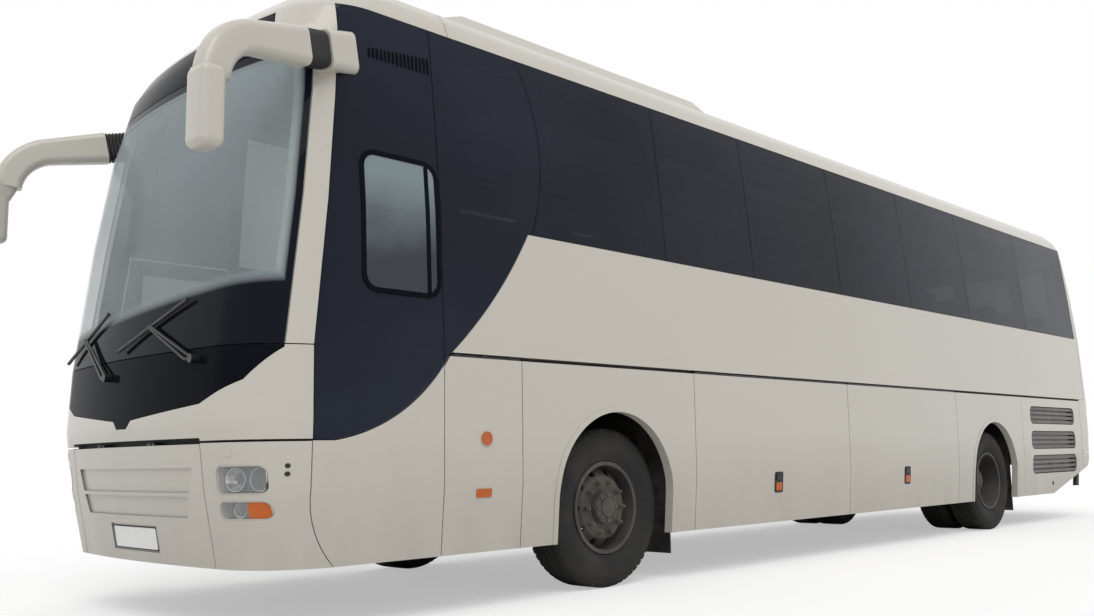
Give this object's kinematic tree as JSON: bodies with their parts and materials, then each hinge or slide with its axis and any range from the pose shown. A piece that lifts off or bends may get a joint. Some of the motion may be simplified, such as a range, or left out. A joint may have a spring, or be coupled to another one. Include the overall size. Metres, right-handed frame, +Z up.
{
  "type": "touring coach bus",
  "caption": "High-deck touring coach: cream body, flush dark side glass, raked screen, horn mirrors, steered front and twin rear wheels, swinging doors and hinged luggage flaps.",
  "frame": {"origin": "on the ground, under the middle of the whole vehicle's box", "axes": "+X forward, +Y to the vehicle's left, +Z up"},
  "size_m": [12.33, 3.024, 3.81],
  "materials": {
    "paint": "gloss cream-white coach paint",
    "chassis": "black chassis paint",
    "floor": "grey floor covering",
    "black_panel": "gloss black panel",
    "screen_glass": "tinted laminated glass",
    "dark_glass": "dark tinted flush glass",
    "lamp_clear": "clear lamp lens",
    "lamp_red": "red lamp lens",
    "seat_fabric": "dark blue seat cloth",
    "dash_plastic": "grained dark plastic",
    "cast_iron": "dark cast iron",
    "steel": "plain steel",
    "wheel_steel": "weathered grey wheel paint",
    "rubber": "black rubber",
    "black_plastic": "black plastic",
    "tyre": "worn tyre rubber"
  },
  "bodies": {
    "coach": {"underframe": "chassis", "body_frame": "chassis", "floor_deck": "floor", "roof_shell": "paint", "roof_aircon": "paint", "roof_cap": "paint", "brow_panel": "black_panel", "windscreen": "screen_glass", "wiper_panel": "black_panel", "front_mask": "paint", "bumper_front": "paint", "headlamps": "lamp_clear", "side_wall_left": "paint", "side_wall_right": "paint", "side_glass_left": "dark_glass", "side_glass_right": "dark_glass", "skirt_panels": "paint", "rear_wall": "paint", "rear_window": "dark_glass", "bumper_rear": "paint", "tail_lamps": "lamp_red", "passenger_seats": "seat_fabric", "driver_station": "dash_plastic", "steering_wheel": "dash_plastic", "front_axle": "cast_iron", "rear_axle": "cast_iron", "engine_block": "cast_iron", "mudflaps": "rubber", "wipers": "black_plastic", "mirrors": "paint", "mirror_bellows": "rubber", "wheel_housings": "chassis"},
    "knuckle_left": {"knuckle_left": "cast_iron"},
    "knuckle_right": {"knuckle_right": "cast_iron"},
    "tie_rod": {"tie_rod": "steel"},
    "front_wheel_left": {"wheel_front_left": "wheel_steel", "tyre_front_left": "tyre"},
    "front_wheel_right": {"wheel_front_right": "wheel_steel", "tyre_front_right": "tyre"},
    "rear_wheels_left": {"wheel_rear_left": "wheel_steel", "tyre_rear_left": "tyre"},
    "rear_wheels_right": {"wheel_rear_right": "wheel_steel", "tyre_rear_right": "tyre"},
    "service_flap": {"service_flap_left": "paint"},
    "luggage_flap_left_front": {"luggage_flap_left_front": "paint"},
    "luggage_flap_left_rear": {"luggage_flap_left_rear": "paint"},
    "luggage_flap_right_front": {"luggage_flap_right_front": "paint"},
    "luggage_flap_right_rear": {"luggage_flap_right_rear": "paint"},
    "front_flap": {"front_flap": "paint"},
    "engine_lid": {"engine_lid": "paint"},
    "door_front_column": {"door_front_column": "steel"},
    "door_front_leaf": {"door_front_leaf": "paint", "door_front_glass": "dark_glass"},
    "door_middle_column": {"door_middle_column": "steel"},
    "door_middle_leaf": {"door_middle_leaf": "paint", "door_middle_glass": "dark_glass"}
  },
  "joints": [
    {"name": "steer_left", "type": "hinge", "parent": "coach", "child": "knuckle_left", "pos_m": [3.122, 0.86, 0.515], "axis": [0, 0, 1], "range_deg": [-45, 45]},
    {"name": "steer_right", "type": "hinge", "parent": "coach", "child": "knuckle_right", "pos_m": [3.122, -0.86, 0.515], "axis": [0, 0, 1], "range_deg": [-45, 45]},
    {"name": "tie_rod_swing", "type": "hinge", "parent": "knuckle_left", "child": "tie_rod", "pos_m": [2.917, 0.86, 0.368], "axis": [0, 0, 1], "range_deg": [-45, 45]},
    {"name": "spin_front_left", "type": "hinge", "parent": "knuckle_left", "child": "front_wheel_left", "pos_m": [3.122, 1.025, 0.515], "axis": [0, 1, 0], "continuous": true},
    {"name": "spin_front_right", "type": "hinge", "parent": "knuckle_right", "child": "front_wheel_right", "pos_m": [3.122, -1.025, 0.515], "axis": [0, 1, 0], "continuous": true},
    {"name": "spin_rear_left", "type": "hinge", "parent": "coach", "child": "rear_wheels_left", "pos_m": [-2.94, 0.9, 0.515], "axis": [0, 1, 0], "continuous": true},
    {"name": "spin_rear_right", "type": "hinge", "parent": "coach", "child": "rear_wheels_right", "pos_m": [-2.94, -0.9, 0.515], "axis": [0, 1, 0], "continuous": true},
    {"name": "service_flap_hinge", "type": "hinge", "parent": "coach", "child": "service_flap", "pos_m": [4.2825, 1.266, 1.431], "axis": [1, 0, 0], "range_deg": [0, 85]},
    {"name": "luggage_flap_left_front_hinge", "type": "hinge", "parent": "coach", "child": "luggage_flap_left_front", "pos_m": [1.2195, 1.266, 1.431], "axis": [1, 0, 0], "range_deg": [0, 85]},
    {"name": "luggage_flap_left_rear_hinge", "type": "hinge", "parent": "coach", "child": "luggage_flap_left_rear", "pos_m": [-0.938, 1.266, 1.431], "axis": [1, 0, 0], "range_deg": [0, 85]},
    {"name": "luggage_flap_right_front_hinge", "type": "hinge", "parent": "coach", "child": "luggage_flap_right_front", "pos_m": [1.2195, -1.266, 1.431], "axis": [-1, 0, 0], "range_deg": [0, 85]},
    {"name": "luggage_flap_right_rear_hinge", "type": "hinge", "parent": "coach", "child": "luggage_flap_right_rear", "pos_m": [-0.518, -1.266, 1.431], "axis": [-1, 0, 0], "range_deg": [0, 85]},
    {"name": "front_flap_hinge", "type": "hinge", "parent": "coach", "child": "front_flap", "pos_m": [5.805, 0, 0.955], "axis": [0, -1, 0], "range_deg": [0, 80]},
    {"name": "engine_lid_hinge", "type": "hinge", "parent": "coach", "child": "engine_lid", "pos_m": [-6.153, 0, 1.431], "axis": [0, 1, 0], "range_deg": [0, 75]},
    {"name": "door_front_swing", "type": "hinge", "parent": "coach", "child": "door_front_column", "pos_m": [5.3, -1.095, 1.2], "axis": [0, 0, 1], "range_deg": [0, 130]},
    {"name": "door_front_parallel", "type": "hinge", "parent": "door_front_column", "child": "door_front_leaf", "pos_m": [4.84, -1.095, 1.2], "axis": [0, 0, 1], "range_deg": [-130, 0]},
    {"name": "door_middle_swing", "type": "hinge", "parent": "coach", "child": "door_middle_column", "pos_m": [-1.89, -1.095, 1.2], "axis": [0, 0, -1], "range_deg": [0, 130]},
    {"name": "door_middle_parallel", "type": "hinge", "parent": "door_middle_column", "child": "door_middle_leaf", "pos_m": [-1.43, -1.095, 1.2], "axis": [0, 0, -1], "range_deg": [-130, 0]}
  ],
  "couplings": [
    {"joint": "steer_right", "follows": "steer_left", "ratio": 1},
    {"joint": "tie_rod_swing", "follows": "steer_left", "ratio": -1},
    {"joint": "door_front_parallel", "follows": "door_front_swing", "ratio": -1},
    {"joint": "door_middle_parallel", "follows": "door_middle_swing", "ratio": -1}
  ]
}
